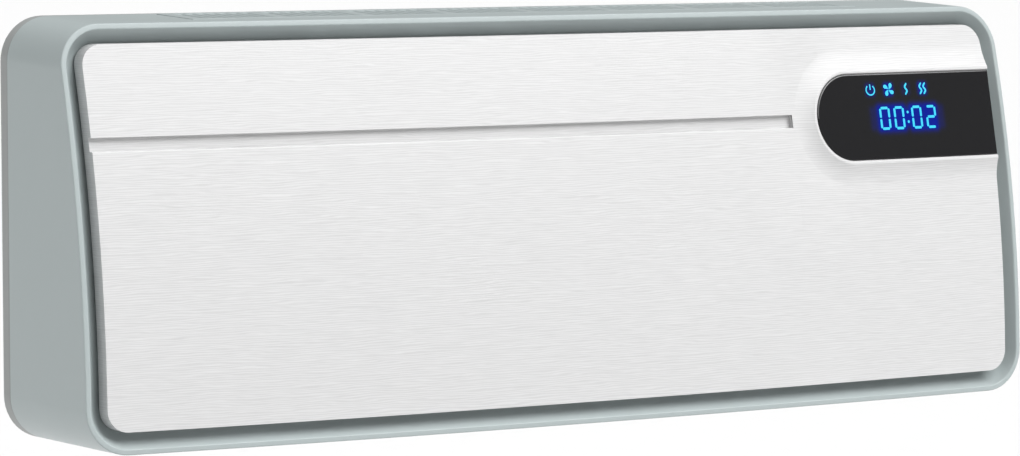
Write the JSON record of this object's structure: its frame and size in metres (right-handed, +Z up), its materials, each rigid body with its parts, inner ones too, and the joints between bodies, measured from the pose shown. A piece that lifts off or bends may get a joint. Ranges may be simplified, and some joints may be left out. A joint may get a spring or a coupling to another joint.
{
  "type": "wall fan heater",
  "caption": "Long wall-mounted bathroom fan heater with a curved housing, floating front panel, lit display window, top intake, tangential fan and bottom outlet flap.",
  "frame": {"origin": "middle between the round parts of the two keyholes, on the wall face", "axes": "+X to the right along the heater, the front faces -Y and the wall lies at +Y, +Z up"},
  "size_m": [0.5525, 0.0976, 0.2056],
  "materials": {
    "shell_grey": "fine satin",
    "housing_grey": "fine satin",
    "panel_white": "fine horizontal brushing under a satin lacquer",
    "window_black": "high gloss",
    "board_green": "solder lacquer",
    "part_black": "matt",
    "lens_clear": "clear lens",
    "frame_dark": "glass-filled, matt",
    "fan_black": "glass-filled, matt",
    "shaft_steel": "ground",
    "bronze": "sintered",
    "rubber_black": "matt",
    "motor_steel": "laminated, oiled",
    "copper": "wound and taped",
    "alloy": "bright",
    "screw_steel": "zinc plated",
    "ceramic": "fired ceramic look",
    "acetal_white": "satin",
    "relay_blue": "matt",
    "film_yellow": "matt",
    "block_green": "matt",
    "key_black": "semi gloss",
    "lead_red": "silicone sleeve",
    "lead_blue": "sleeve",
    "lead_black": "sleeve",
    "lead_white": "sleeve"
  },
  "bodies": {
    "heater": {"rear_cover": "shell_grey", "front_housing": "housing_grey", "front_panel": "panel_white", "display_window": "window_black", "display_board": "board_green", "led_display": "part_black", "icon_leds": "lens_clear", "ir_receiver": "part_black", "intake_grille": "housing_grey", "dust_filter": "part_black", "left_end_plate": "frame_dark", "right_end_plate": "frame_dark", "rear_air_guide": "frame_dark", "front_air_guide": "frame_dark", "fan_bearing": "bronze", "bearing_rubber": "rubber_black", "bearing_holder": "frame_dark", "motor_stack": "motor_steel", "motor_coil": "copper", "motor_bridge_left": "alloy", "motor_bridge_right": "alloy", "motor_screws": "screw_steel", "heater_core": "alloy", "heater_end_caps": "frame_dark", "heater_terminals": "bronze", "thermal_cutout": "ceramic", "thermal_fuse": "alloy", "outlet_guard": "fan_black", "flap_motor": "screw_steel", "main_board": "board_green", "relays": "relay_blue", "capacitor": "film_yellow", "power_module": "part_black", "terminal_block": "block_green", "rocker_body": "part_black", "cable_gland": "part_black", "housing_screws": "screw_steel", "board_screws": "screw_steel", "duct_screws": "screw_steel", "heater_leads": "lead_red", "motor_lead": "lead_blue", "switch_leads": "lead_black", "display_lead": "lead_white"},
    "fan": {"fan_impeller": "fan_black", "fan_stub_shaft": "shaft_steel", "hub_screw": "screw_steel", "motor_shaft": "shaft_steel", "motor_rotor": "motor_steel"},
    "flap": {"outlet_flap": "housing_grey", "flap_spindle": "acetal_white"},
    "rocker": {"rocker_key": "key_black"}
  },
  "joints": [
    {"name": "fan_spin", "type": "hinge", "parent": "heater", "child": "fan", "pos_m": [0, -0.038, -0.03], "axis": [1, 0, 0], "continuous": true},
    {"name": "flap_swing", "type": "hinge", "parent": "heater", "child": "flap", "pos_m": [0, -0.05392, -0.142], "axis": [1, 0, 0], "range_deg": [0, 75]},
    {"name": "switch_rock", "type": "hinge", "parent": "heater", "child": "rocker", "pos_m": [0.272, -0.03, -0.075], "axis": [0, 1, 0], "range_deg": [-14, 0]}
  ]
}
